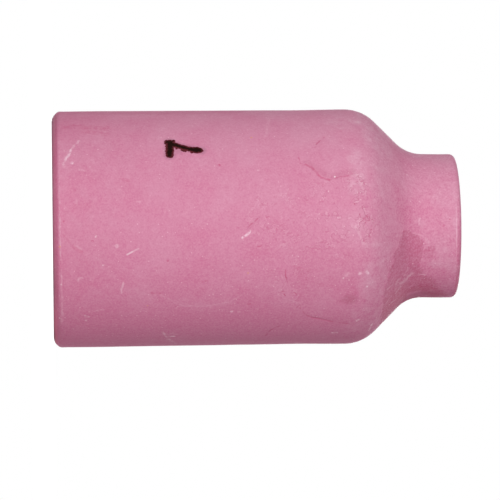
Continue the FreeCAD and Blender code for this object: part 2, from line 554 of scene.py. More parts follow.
    def build(self, finish: bpy.types.Material) -> bpy.types.Object:
        """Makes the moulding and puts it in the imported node's place.

        Args:
            finish: The material that it gets.

        Returns:
            The finished piece.
        """
        piece = self.wire()
        tree = self.tree()
        values = {"Segments": self.segments, "Seed": self.unevenness_seed, "Finish": finish}
        values |= {name: length * MM for name, length in self.lengths().items()}
        modifier = piece.modifiers.new("spin", "NODES")
        modifier.node_group = tree
        for socket in tree.interface.items_tree:
            if socket.in_out == "INPUT" and socket.name in values:
                modifier[socket.identifier] = values[socket.name]
        graph = bpy.context.evaluated_depsgraph_get()
        spun = bpy.data.meshes.new_from_object(piece.evaluated_get(graph), depsgraph=graph)
        piece.modifiers.clear()
        piece.data = spun
        spun.name = self.name
        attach(piece, BODY)
        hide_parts(NODE)
        return piece


@dataclass(frozen=True)
class BrushStroke:
    """One stroke of the painted number, on the barrel laid flat.

    Attributes:
        path: The points that it runs through, as (height, millimetres round the barrel, half its width there).
    """

    SHORTEST = 1e-9

    path: tuple[Flat, ...]

    def distance(self, places: np.ndarray) -> np.ndarray:
        """Measures how far places are outside the stroke.

        Args:
            places: The places, one in each row.

        Returns:
            Each place's distance from the stroke's edge, less than 0 inside it.
        """
        nearest = np.full(len(places), np.inf)
        for first, last in zip(self.path, self.path[1:] or self.path):
            start, run = np.array(first[:2]), np.subtract(last[:2], first[:2])
            share = np.clip((places - start) @ run / max(run @ run, self.SHORTEST), 0.0, 1.0)
            away = np.linalg.norm(places - start - share[:, None] * run, axis=1)
            nearest = np.minimum(nearest, away - (first[2] + share * (last[2] - first[2])))
        return nearest


@dataclass
class SizeNumber:
    """The nozzle's size, a 7 painted on the barrel by hand: a thin film of ink with a ragged edge.

    The film's rim is pulled onto the ink's edge down the slope of its distance, by LARGEST_PULL of a cell at
    most. That slope is measured over NUDGE of a cell each way, and counts as LEAST_SLOPE or more.

    Attributes:
        margin: How far the grid reaches past the strokes.
        cell: The width of the grid's cells.
        ripple: How deep the scallops of the ink's edge are.
        tremor: How ragged the edge is.
        film: How thick the ink is.
        thinnest_share: The share of that thickness that is left at the edge.
        root: How far the ink reaches into the ceramic.
        edge_width: About how far in from its edge the ink is thinner.
        tint_width: How far in from its edge the ink's colour changes.
        spread: How far the ink spread past its strokes.
    """

    NUDGE = 0.1
    LEAST_SLOPE = 0.5
    LARGEST_PULL = 0.45

    sizes: NozzleSizes
    name: str = "size_number"
    strokes: tuple[BrushStroke, ...] = (
        BrushStroke(((12.02, 9.7, 0.39), (12.0, 8.6, 0.38), (11.97, 8.0, 0.36))),
        BrushStroke(((11.66, 9.62, 0.19), (11.72, 9.87, 0.2), (11.95, 9.88, 0.19))),
        BrushStroke(((12.36, 9.9, 0.16), (12.42, 9.92, 0.15))),
        BrushStroke(((11.78, 8.2, 0.2), (11.8, 7.88, 0.2))),
        BrushStroke(((12.07, 8.2, 0.22), (12.07, 7.82, 0.21))),
        BrushStroke(((12.3, 9.42, 0.36), (12.7, 9.26, 0.34), (13.1, 9.08, 0.28), (13.45, 8.94, 0.32),
                     (13.85, 8.8, 0.28), (14.3, 8.66, 0.33), (14.7, 8.61, 0.42), (14.97, 8.58, 0.35),
                     (15.36, 8.5, 0.05))),
        BrushStroke(((12.68, 8.86, 0.09),)),
        BrushStroke(((13.26, 8.63, 0.1), (13.57, 8.47, 0.1))),
        BrushStroke(((14.22, 8.3, 0.1),)),
        BrushStroke(((11.6, 9.1, 0.07),)),
        BrushStroke(((11.59, 8.5, 0.06),)),
        BrushStroke(((12.38, 8.52, 0.06),)),
    )
    margin: float = 0.55
    cell: float = 0.05
    ripple: float = 0.02
    ripple_size: float = 0.43
    tremor: float = 0.05
    tremor_size: float = 0.22
    film: float = 0.016
    thinnest_share: float = 0.25
    root: float = 0.03
    edge_width: float = 0.14
    tint_width: float = 0.33
    spread: float = 0.048

    def distance(self, places: np.ndarray) -> np.ndarray:
        """Measures how far places are outside the ink, whose edge is scalloped and ragged.

        Args:
            places: Places on the barrel laid flat, one in each row.

        Returns:
            Each place's distance from the ink's edge, less than 0 inside it.
        """
        clean = np.min([stroke.distance(places) for stroke in self.strokes], axis=0)
        waves = np.cos(places * (math.tau / self.ripple_size)).prod(axis=1)
        shake = [noise.noise(Vector((up, turn, 0.0)) / self.tremor_size) for up, turn in places]
        return clean - self.spread + self.ripple * waves + self.tremor * np.array(shake)

    def flat_mesh(self) -> tuple[np.ndarray, np.ndarray, np.ndarray]:
        """Cuts the number out of a fine grid.

        Returns:
            The points on the barrel laid flat, the cells' corners, and each point's distance inside the ink.
        """
        ends = np.array([point[:2] for stroke in self.strokes for point in stroke.path])
        low = ends.min(axis=0) - self.margin
        counts = np.ceil((ends.max(axis=0) + self.margin - low) / self.cell).astype(int)
        ups, turns = np.meshgrid(np.arange(counts[0] + 1), np.arange(counts[1] + 1), indexing="ij")
        places = low + np.stack([ups.ravel(), turns.ravel()], axis=1) * self.cell
        away = self.distance(places)
        numbers = np.arange(len(places)).reshape(counts[0] + 1, counts[1] + 1)
        cells = np.stack([numbers[:-1, :-1], numbers[1:, :-1], numbers[1:, 1:], numbers[:-1, 1:]], axis=-1)
        cells = cells.reshape(-1, 4)
        cells = cells[away[cells].mean(axis=1) < 0.0]
        used, cells = np.unique(cells, return_inverse=True)
        cells = cells.reshape(-1, 4)
        places, away = places[used], away[used]
        rim = np.unique(self.rim_edges(cells))
        places[rim] = self.pulled(places[rim], away[rim])
        away[rim] = 0.0
        return places, cells, -away

    def pulled(self, places: np.ndarray, away: np.ndarray) -> np.ndarray:
        """Pulls the rim's points onto the ink's edge.

        Args:
            places: The points.
            away: How far each is outside the ink.

        Returns:
            Where they go.
        """
        nudge = self.cell * self.NUDGE
        slope = np.stack([
            self.distance(places + step) - self.distance(places - step)
            for step in (np.array((nudge, 0.0)), np.array((0.0, nudge)))
        ], axis=1) / (2 * nudge)
        pull = away / np.maximum((slope ** 2).sum(axis=1), self.LEAST_SLOPE)
        most = self.LARGEST_PULL * self.cell
        return places - slope * np.clip(pull, -most, most)[:, None]

    @staticmethod
    def rim_edges(cells: np.ndarray) -> np.ndarray:
        """Finds the edges that only one cell has.

        Args:
            cells: The corners of each cell, in order.

        Returns:
            The two ends of each such edge, in the cell's order.
        """
        edges = np.concatenate([cells[:, [side, (side + 1) % 4]] for side in range(4)])
        _, first, count = np.unique(np.sort(edges, axis=1), axis=0, return_index=True, return_counts=True)
        return edges[first[count == 1]]

    def build(self, carrier: bpy.types.Object, finish: bpy.types.Material) -> bpy.types.Object:
        """Lays the film of ink on the barrel.

        Args:
            carrier: The body that the ink is on.
            finish: The ink's material.

        Returns:
            The finished piece.
        """
        places, cells, inside = self.flat_mesh()
        skin = BVHTree.FromPolygons([v.co for v in carrier.data.vertices],
                                    [tuple(p.vertices) for p in carrier.data.polygons])
        lifts = self.film * np.clip(inside / self.edge_width + self.thinnest_share, self.thinnest_share, 1.0)
        layers: tuple[list[Vector], list[Vector]] = ([], [])
        for (up, turn), lift in zip(places, lifts):
            angle = turn / self.sizes.barrel
            outward = Vector((-math.sin(angle), -math.cos(angle), 0.0))
            start = outward * (self.sizes.barrel * 2 * MM) + Vector((0.0, 0.0, up * MM))
            hit = skin.ray_cast(start, -outward)[0]
            layers[0].append(hit + outward * (lift * MM))
            layers[1].append(hit - outward * (self.root * MM))
        count = len(places)
        faces = [tuple(cell) for cell in cells.tolist()]
        faces += [tuple(corner + count for corner in cell[::-1]) for cell in cells.tolist()]
        for first, second in self.rim_edges(cells).tolist():
            faces.append((second, first, first + count, second + count))
        mesh = bpy.data.meshes.new(self.name)
        mesh.from_pydata(layers[0] + layers[1], [], faces)
        tint = np.tile(np.clip(inside / self.tint_width, 0.0, 1.0), 2)
        mesh.attributes.new("ink_depth", "FLOAT", "POINT").data.foreach_set("value", tint.astype(np.float32))
        mesh.materials.append(finish)
        piece = put_in_scene(self.name, mesh)
        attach(piece, BODY)
        return piece


def outward_volume(mesh: bpy.types.Mesh) -> float:
    """Measures a closed mesh's volume.

    Args:
        mesh: The mesh.

    Returns:
        Its volume in cubic metres, which is more than 0 if its faces point outwards.
    """
    mesh.calc_loop_triangles()
    points = np.empty(len(mesh.vertices) * 3)
    mesh.vertices.foreach_get("co", points)
    corners = np.empty(len(mesh.loop_triangles) * 3, dtype=np.int32)
    mesh.loop_triangles.foreach_get("vertices", corners)
    a, b, c = points.reshape(-1, 3)[corners].reshape(-1, 3, 3).transpose(1, 0, 2)
    return float((a * np.cross(b, c)).sum() / 6)


class Trace(Enum):
    """Kinds of mark on the ceramic."""

    RUB = "pale rub"
    HAZE = "pale haze"
    # Also painted shade along the barrel's high edge.
    BARE = "haze worn off"
    STAIN = "dark trace"
    CREASE = "crease in the skin"
    SKIN = "crackled skin"
    SHADE = "shade beside a crease or under the neck"
    SPECK = "warm speck"
    # Mostly bright chips, and also painted light along the whole rear edge.
    GLINT = "bright chip"
    BLEED = "ink soaked in beside the number"


@dataclass(frozen=True)
class Mark:
    """One mark on the ceramic.

    Attributes:
        path: The places that it runs through, as (height, turn). A single place makes a dot.
        width: Half its width.
        strength: How strong it is, from 0 to 1.
        softness: How far its edge fades.
    """

    path: tuple[Place, ...]
    width: float
    strength: float
    softness: float = 0.1


# Each mark stands where the photograph shows it. The bare ones past a turn of -85 let the patch fade out on the
# side that it doesn't show.
MARKS: dict[Trace, tuple[Mark, ...]] = {
    Trace.RUB: (
        Mark(((0.7, 40), (0.72, 12)), 0.03, 0.12, 0.12),
        Mark(((0.71, 13), (0.74, -4), (0.77, -15)), 0.035, 0.28, 0.09),
        Mark(((0.81, -20), (0.86, -26), (0.86, -33)), 0.04, 0.3, 0.1),
        Mark(((2.8, 47), (2.25, 44), (1.85, 39.5), (1.45, 36), (1.15, 31)), 0.06, 0.35, 0.14),
        Mark(((1.95, 41), (1.7, 37.5), (1.4, 35)), 0.06, 0.65, 0.12), Mark(((2.0, 33),), 0.1, 0.9),
        Mark(((2.55, 29), (3.0, 29), (3.25, 28.5)), 0.04, 0.25),
        Mark(((19.2, -5), (19.6, -4), (19.9, -2)), 0.08, 0.75),
        Mark(((7.1, -27.0), (6.92, -29.6), (6.88, -32.1)), 0.06, 0.34),
        Mark(((2.5, -25.5), (2.65, -24), (2.9, -24)), 0.06, 0.25), Mark(((6.45, -8.5),), 0.12, 0.3, 0.15),
        Mark(((10.9, -34), (11.65, -36), (12.35, -38.5), (13.25, -40.5)), 0.04, 0.18),
        Mark(((13.25, -40.5), (15.5, -41), (17.85, -38.5), (19.45, -33.5)), 0.03, 0.14),
        Mark(((11.2, -61), (11.5, -65), (11.95, -70), (12.65, -77.5)), 0.06, 0.38, 0.14),
        Mark(((11.75, -63), (12.2, -62), (12.65, -63.5)), 0.06, 0.15),
        Mark(((11.95, -65.5), (12.45, -65.5)), 0.08, 0.7),
        Mark(((3.6, -43.5), (4.3, -43), (5.1, -42)), 0.05, 0.25), Mark(((3.4, -46.5),), 0.1, 0.6),
        Mark(((3.3, -49.5),), 0.08, 0.3), Mark(((18.15, -44.5),), 0.14, 0.55), Mark(((18.9, -45),), 0.1, 0.15),
        Mark(((8.25, 12.5), (9.25, 12.5)), 0.03, 0.18), Mark(((13.1, 33.5), (13.2, 31.5)), 0.04, 0.2),
        Mark(((22.4, 66), (22.1, 56), (21.9, 49.5)), 0.06, 0.13, 0.2), Mark(((20.9, 28),), 0.08, 0.4),
        Mark(((31.15, -23.5),), 0.1, 0.5, 0.2), Mark(((29.78, -23.7),), 0.15, 0.2, 0.2),
        Mark(((31.95, -24.0), (31.85, -23.0)), 0.06, 0.5, 0.15),
        Mark(((31.03, -53.0), (31.35, -52.1)), 0.1, 0.55), Mark(((28.7, -63.5), (29.1, -63.5)), 0.08, 0.8),
        Mark(((32.79, -61.1), (32.59, -67.5)), 0.08, 0.5), Mark(((0.86, -33), (0.87, -52)), 0.07, 0.2, 0.12),
        Mark(((36.6, 40),), 0.09, 0.9), Mark(((37.65, 19), (37.8, 18)), 0.05, 0.35),
        Mark(((37.65, 5.5), (37.5, 3.5), (37.6, 1)), 0.05, 0.3),
        Mark(((36.95, -5.6), (37.85, -7.8), (38.5, -12.3), (38.65, -16.5)), 0.06, 0.2, 0.12),
        Mark(((30.55, 20.8), (30.3, 19.0)), 0.06, 0.12, 0.15),
        Mark(((31.6, 7.0), (32.1, 6.6)), 0.05, 0.15, 0.12),
        Mark(((30.6, 0.0), (31.0, -4.1), (31.5, -9.0)), 0.05, 0.2, 0.15),
        Mark(((36.5, -33.0), (36.1, -38.0)), 0.06, 0.15, 0.15),
        Mark(((37.7, -41.0), (38.5, -43.5)), 0.06, 0.2, 0.15),
        Mark(((34.2, -39.7), (34.6, -39.2)), 0.05, 0.25, 0.15),
        Mark(((34.3, -50.9), (34.7, -48.8)), 0.05, 0.28, 0.15),
        Mark(((34.8, -56.1), (35.3, -57.2)), 0.05, 0.2, 0.15),
        Mark(((35.2, -49.0), (35.7, -46.4)), 0.06, 0.25, 0.2),
        Mark(((35.2, -40.8), (35.5, -38.1)), 0.05, 0.2, 0.2),
        Mark(((35.9, -43.8), (36.9, -39.4)), 0.06, 0.2, 0.25),
        Mark(((2.23, -8.2), (2.74, -10.2)), 0.1, 0.15, 0.2),
    ),
    Trace.HAZE: (
        Mark(((31.25, 62.5),), 0.3, 0.5, 0.8), Mark(((31.0, 15), (30.7, 2), (31.4, -10)), 0.4, 0.08, 1.0),
        Mark(((31.0, 36), (31.0, 18)), 0.4, 0.25, 1.0), Mark(((31.2, -40), (31.0, -62)), 0.5, 0.15, 1.0),
        Mark(((35.4, -44.5), (36.8, -40)), 0.25, 0.45, 0.35),
        Mark(((36.3, -34.5), (37.3, -50)), 0.3, 0.12, 0.7), Mark(((38.5, -30), (39.5, -33)), 0.5, 0.14, 0.7),
        Mark(((40.2, -33), (41.2, -36)), 0.4, 0.15, 0.7),
        Mark(((33.0, -14), (32.6, -30), (32.7, -58)), 1.0, 0.17, 1.2),
        Mark(((33.4, 28), (33.6, 2)), 0.8, 0.12, 1.2), Mark(((41.0, 32), (41.2, -6)), 0.5, 0.14, 0.9),
        Mark(((30.0, 60),), 0.8, 0.2, 1.5), Mark(((32.8, 78), (33.4, 50)), 1.0, 0.2, 1.2),
        Mark(((36.6, 78), (38.0, 74)), 0.8, 0.22, 1.0), Mark(((40.5, 22),), 1.0, 0.14, 1.5),
        Mark(((3.2, 34), (4.0, 14)), 1.5, 0.06, 3.0), Mark(((5.5, -24), (7.5, -28)), 1.5, 0.06, 2.0),
        Mark(((37.7, 3),), 0.6, 0.12, 0.8), Mark(((39.9, -12), (40.7, -30)), 0.4, 0.12, 0.8),
    ),
    Trace.BARE: (
        Mark(((36.2, -6.0), (36.6, -8.5)), 0.45, 0.85, 0.15),
        Mark(((36.5, -11.5), (36.9, -14.5)), 1.1, 0.74, 0.15),
        Mark(((35.95, -8.5), (35.75, -15), (35.7, -20)), 0.3, 0.95, 0.25),
        Mark(((35.1, -24), (34.75, -28)), 0.35, 0.9, 0.2), Mark(((36.4, -19.5), (36.2, -28)), 1.55, 0.8, 0.2),
        Mark(((35.9, -36), (35.6, -45)), 1.8, 0.82, 0.2), Mark(((35.3, -50), (35.1, -80)), 1.35, 0.94, 0.2),
        Mark(((36.9, -33), (37.4, -40)), 0.4, 1.0, 0.6), Mark(((38.9, -18.5), (38.6, -23)), 0.42, 0.5, 0.25),
        Mark(((38.5, -25.5),), 0.35, 0.5, 0.3), Mark(((37.2, -58), (38.6, -60)), 0.6, 1.0, 0.7),
        Mark(((38.0, -48), (38.6, -56), (39.3, -66), (40.0, -74)), 0.7, 0.8, 0.8),
        Mark(((36.0, -82), (39.6, -84)), 0.8, 0.95, 0.8), Mark(((35.6, -88), (36.4, -94)), 1.0, 0.78, 1.0),
        Mark(((38.2, -90), (38.6, -95)), 0.7, 0.62, 1.4), Mark(((35.2, -97), (35.6, -103)), 0.6, 0.5, 1.5),
        Mark(((37.2, -101),), 0.4, 0.36, 1.8), Mark(((36.0, -109),), 0.2, 0.22, 2.2),
        Mark(((26.5, -20), (29.5, -22)), 1.0, 0.12, 3.0), Mark(((1.5, -1), (3.5, -12)), 1.0, 0.07, 2.0),
        # The marks at turns of 78 and 79 on the next two lines darken the barrel's high edge as painted shade.
        Mark(((29.9, -37.8), (30.3, -38)), 0.3, 0.95, 0.6), Mark(((0.5, 78), (12, 78)), 0.5, 0.35, 0.8),
        Mark(((12, 79), (19, 79)), 0.5, 0.28, 0.8),
    ),
    Trace.STAIN: (
        Mark(((1.05, -3.0), (2.0, -8.0)), 0.05, 0.35, 0.15),
        Mark(((2.1, -8.7), (3.0, -11.8)), 0.1, 0.42, 0.15),
        Mark(((3.28, -16.2), (3.66, -17.7)), 0.06, 0.35, 0.15), Mark(((4.0, -6),), 0.08, 0.8),
        Mark(((1.1, 3.5),), 0.08, 0.7), Mark(((2.1, 18.5),), 0.15, 0.35, 0.25),
        Mark(((7.25, 23.5), (7.85, 23)), 0.1, 0.3, 0.2),
        Mark(((1.6, 58.8), (3.73, 57.7), (5.64, 56.7)), 0.22, 0.4, 0.4),
        Mark(((3.35, 54.0), (5.62, 51.9)), 0.18, 0.38, 0.35), Mark(((1.0, 70), (5.0, 68)), 0.5, 0.14, 1.0),
        Mark(((1.95, 9), (2.8, 11.5), (3.8, 11)), 0.15, 0.18, 0.3), Mark(((11.6, -15.5),), 0.1, 0.9),
        Mark(((4.78, -8.1), (5.44, -9.9)), 0.05, 0.3), Mark(((10.0, -32.5), (10.8, -33)), 0.06, 0.5),
        Mark(((15.15, -27), (15.6, -26.5)), 0.06, 0.7), Mark(((19.9, -40),), 0.12, 0.65),
        Mark(((18.65, -0.3), (19.0, -0.3)), 0.05, 0.5), Mark(((16.95, 31),), 0.08, 0.9),
        Mark(((40.15, 0), (40.1, -2.5)), 0.05, 0.6), Mark(((40.75, 4.5),), 0.08, 0.8),
    ),
    Trace.CREASE: (
        Mark(((25.11, 34.9), (25.19, 31.7), (25.7, 31)), 0.08, 0.5),
        Mark(((25.7, 31), (26.3, 29.5), (26.85, 26)), 0.15, 0.62),
        Mark(((26.85, 26), (27.35, 23.5), (28.15, 22.5)), 0.15, 0.62),
        Mark(((28.15, 22.5), (29.2, 24.1), (30.11, 24.6), (30.5, 25.8)), 0.08, 0.3),
        Mark(((26.95, 43.5), (27.39, 45.9), (27.83, 48.1)), 0.11, 0.48),
        Mark(((25.46, 37.9), (26.09, 39.7), (26.88, 41.7)), 0.09, 0.25),
        Mark(((28.14, 50.3), (28.91, 51.7), (29.75, 52.8)), 0.08, 0.18),
        Mark(((24.63, -19.7), (24.24, -19.1), (23.91, -19.7)), 0.08, 0.25),
        Mark(((23.53, -21.1), (23.54, -23.5), (23.69, -26.4), (23.81, -28.9)), 0.08, 0.7),
        Mark(((23.81, -28.9), (24.24, -31.4)), 0.06, 0.25), Mark(((23.28, -32.8), (23.59, -35.2)), 0.09, 0.6),
        Mark(((24.48, -33.3), (24.78, -35.0)), 0.09, 0.5), Mark(((24.98, -31.9), (25.1, -31.7)), 0.07, 0.35),
        Mark(((24.83, -42.6), (25.08, -41.2), (25.18, -43.5)), 0.11, 0.45),
        Mark(((25.49, -45.2), (25.6, -47.0), (26.26, -49.4)), 0.12, 0.4),
        Mark(((26.26, -49.4), (26.91, -50.4), (27.6, -51.4), (28.31, -52.7)), 0.14, 0.5),
        Mark(((28.31, -52.7), (28.91, -53.6), (29.87, -54.5), (30.84, -55.3)), 0.12, 0.4),
        Mark(((21.75, -67), (22.2, -61), (22.7, -57.5), (23.3, -56.5)), 0.1, 0.6),
        Mark(((19.75, -0.1), (20.15, 1.6), (20.45, 2.9), (20.7, 4.0)), 0.08, 0.5),
        Mark(((21.55, 4.5), (21.95, 4.9)), 0.07, 0.35), Mark(((20.7, -9.5), (21.25, -8.7)), 0.08, 0.7),
        Mark(((30.95, 21.5),), 0.09, 0.4), Mark(((30.3, 7), (30.6, 8)), 0.06, 0.45),
        Mark(((31.45, 9),), 0.06, 0.5), Mark(((32.15, 2.5), (31.6, 2.5)), 0.06, 0.4),
        Mark(((32.25, -2),), 0.08, 0.9), Mark(((30.6, 10.5),), 0.08, 1.0),
    ),
    Trace.SKIN: (
        Mark(((23.5, 3), (29.0, 3)), 2.0, 0.7, 4.0), Mark(((24.5, -26),), 1.5, 0.6, 2.5),
        Mark(((30.9, 21), (31.2, 10), (31.9, -3)), 0.7, 1.3, 0.8),
    ),
    Trace.SHADE: (
        Mark(((25.95, 32.4), (27.1, 27.4), (28.2, 24.2), (30.4, 26.6)), 0.12, 0.2, 0.45),
        Mark(((19.8, -0.5), (20.4, 2.5), (20.9, 4.5)), 0.1, 0.12, 0.3),
        Mark(((37.1, -74), (38.7, -74)), 1.0, 0.45, 1.3),
    ),
    Trace.SPECK: (
        Mark(((9.56, -40.1),), 0.03, 0.4), Mark(((20.4, 48.5),), 0.07, 0.45),
        Mark(((19.75, -22.5),), 0.06, 0.35), Mark(((0.7, -8.5),), 0.05, 0.5),
    ),
    Trace.GLINT: (
        Mark(((7.5, -12.6), (8.05, -11.2)), 0.03, 0.45, 0.1),
        Mark(((8.05, -11.2), (8.66, -9.8)), 0.02, 0.25, 0.1), Mark(((5.04, -17.7),), 0.03, 0.45, 0.08),
        Mark(((4.32, -4.1), (4.38, -3.5)), 0.02, 0.35, 0.08), Mark(((0.8, -27.3),), 0.03, 0.4, 0.08),
        Mark(((29.44, -25.6),), 0.03, 0.4, 0.1), Mark(((31.92, -31.1),), 0.03, 0.5, 0.1),
        # The mark at a height of 0.05 on the next line, along the whole rear edge, is painted light.
        Mark(((28.67, 24.1),), 0.03, 0.9, 0.08), Mark(((0.05, 80), (0.05, -85)), 0.08, 0.09, 0.25),
        Mark(((0.6, -48.0),), 0.03, 0.55, 0.1), Mark(((3.2, -46.2),), 0.03, 0.3, 0.12),
        Mark(((3.6, -47.0),), 0.03, 0.25, 0.12), Mark(((3.32, -49.8),), 0.03, 0.25, 0.12),
    ),
    Trace.BLEED: (
        Mark(((12.02, 45.2), (11.97, 37.3)), 0.4, 0.42, 0.42),
        Mark(((12.3, 43.9), (13.45, 41.6), (14.75, 40.1), (15.2, 39.8)), 0.3, 0.42, 0.42),
        Mark(((12.85, 40.5),), 0.3, 0.3, 0.6),
    ),
}


def nearest_on_piece(wires: Wiring, size: Sockets) -> tuple[Socket, Socket]:
    """Finds the nearest point of a straight piece of a mark.

    Args:
        wires: The group's wiring.
        size: The group's inputs, with Place, Start and End.

    Returns:
        The ways from the piece's start to the place and to the nearest point.
    """
    shortest = 1e-6
    run = wires.vector("SUBTRACT", size["End"], size["Start"])
    away = wires.vector("SUBTRACT", size["Place"], size["Start"])
    reach = wires.math("MAXIMUM", wires.vector("DOT_PRODUCT", run, run), shortest)
    share = wires.share(wires.math("DIVIDE", wires.vector("DOT_PRODUCT", away, run), reach))
    return away, wires.vector("SCALE", run, scale=share)


def stroke_group() -> bpy.types.NodeTree:
    """Makes the shared group that adds one straight piece of a mark to a mask.

    Returns:
        The group's tree.
    """
    wires, given, result = new_group(
        "Stroke", "ShaderNodeTree", dict.fromkeys(("Place", "Start", "End"), "Vector")
        | dict.fromkeys(("Width", "Softness", "Strength", "Before"), "Float"), {"After": "Float"})
    size = given.outputs
    distance = wires.vector("DISTANCE", *nearest_on_piece(wires, size))
    edge = wires.plus(size["Width"], size["Softness"])
    mask = wires.remap(distance, edge, size["Width"], 0.0, size["Strength"])
    wires.plug(result.inputs["After"], wires.math("MAXIMUM", mask, size["Before"]))
    return wires.tree


def crease_group() -> bpy.types.NodeTree:
    """Makes the shared group that finds the nearest of a chain of creases.

    Nearest runs from the crease to the place, in widths of the crease, with the crease's strength as its third
    number.

    Returns:
        The group's tree.
    """
    wires, given, result = new_group(
        "Crease", "ShaderNodeTree", dict.fromkeys(("Place", "Start", "End", "Before"), "Vector")
        | dict.fromkeys(("Width", "Strength", "Away"), "Float"), {"Nearest": "Vector", "Distance": "Float"})
    size = given.outputs
    offset = wires.vector("SUBTRACT", *nearest_on_piece(wires, size))
    offset = wires.vector("SCALE", offset, scale=wires.math("DIVIDE", 1.0, size["Width"]))
    distance = wires.vector("LENGTH", offset)
    here = wires.vector("ADD", offset, wires.join(z=size["Strength"]))
    nearer = wires.math("LESS_THAN", distance, size["Away"])
    wires.plug(result.inputs["Nearest"], wires.mix("VECTOR", nearer, size["Before"], here))
    wires.plug(result.inputs["Distance"], wires.math("MINIMUM", distance, size["Away"]))
    return wires.tree


def grain_group() -> bpy.types.NodeTree:
    """Makes the shared group for the fine grain of a fired surface.

    Returns:
        The group's tree.
    """
    wires, given, result = new_group(
        "Grain", "ShaderNodeTree", {"Place": "Vector", "Size": "Float", "Amount": "Float"}, {"Tone": "Float"})
    size = given.outputs
    finer, coarser, coarse_share = 1.0, 2.6, 0.45
    layers = []
    for spread in (finer, coarser):
        scale = wires.math("DIVIDE", 1.0 / spread, size["Size"])
        layers.append(wires.add("ShaderNodeTexNoise", {"Vector": size["Place"], "Scale": scale, "Detail": 1.0}))
    tone = wires.math("MULTIPLY_ADD", layers[1], coarse_share, layers[0])
    tone = wires.math("SUBTRACT", tone, (1 + coarse_share) / 2)
    wires.plug(result.inputs["Tone"], wires.times(tone, size["Amount"]))
    return wires.tree


def specks_group() -> bpy.types.NodeTree:
    """Makes the shared group that scatters small round specks.

    Returns:
        The group's tree.
    """
    wires, given, result = new_group(
        "Specks", "ShaderNodeTree", {"Place": "Vector", "Spacing": "Float", "Radius": "Float", "Share": "Float"},
        {"Mask": "Float"})
    size = given.outputs
    smallest, variation, solid_share = 0.6, 0.6, 0.3
    cells = wires.add("ShaderNodeTexVoronoi", {
        "Vector": size["Place"], "Scale": wires.math("DIVIDE", 1.0, size["Spacing"]), "Randomness": 1.0})
    red, green, _ = wires.add("ShaderNodeSeparateColor", {0: cells.outputs["Color"]}).outputs
    away = wires.times(cells.outputs["Distance"], size["Spacing"])
    radius = wires.times(size["Radius"], wires.math("MULTIPLY_ADD", green, variation, smallest))
    dot = wires.remap(away, radius, wires.times(radius, solid_share), 0.0, 1.0)
    wires.plug(result.inputs["Mask"], wires.times(dot, wires.math("LESS_THAN", red, size["Share"])))
    return wires.tree


class Effects:
    """The shader node groups that the finishes share, each built once."""

    def __init__(self) -> None:
        """Builds the groups."""
        self.stroke = stroke_group()
        self.crease = crease_group()
        self.grain = grain_group()
        self.specks = specks_group()


@dataclass(frozen=True)
class Clouds:
    """A cloudy noise, about 0.5 in the mean.

    Attributes:
        size: Width of its largest clouds.
        detail: How many finer layers it has.
        roughness: How strong the finer layers are.
    """

    size: float
    detail: float = 2.0
    roughness: float = 0.5


@dataclass(frozen=True)
class Band:
    """A band of heights: where it starts and ends, and how far its edges fade."""

    low: float
    high: float
    softness: float


@dataclass(frozen=True)
class Grain:
    """A fine grain: how wide its finer part is, and how strong it is."""

    size: float
    amount: float


@dataclass(frozen=True)
class Speckle:
    """Scattered round specks.

    Attributes:
        spacing: How far apart the places for them are.
        radius: About the radius of the larger ones.
        share: The share of the places that have one, or how it changes across the picture.
        strength: How strong they are.
    """

    spacing: float
    radius: float
    share: float | Ramp
    strength: float


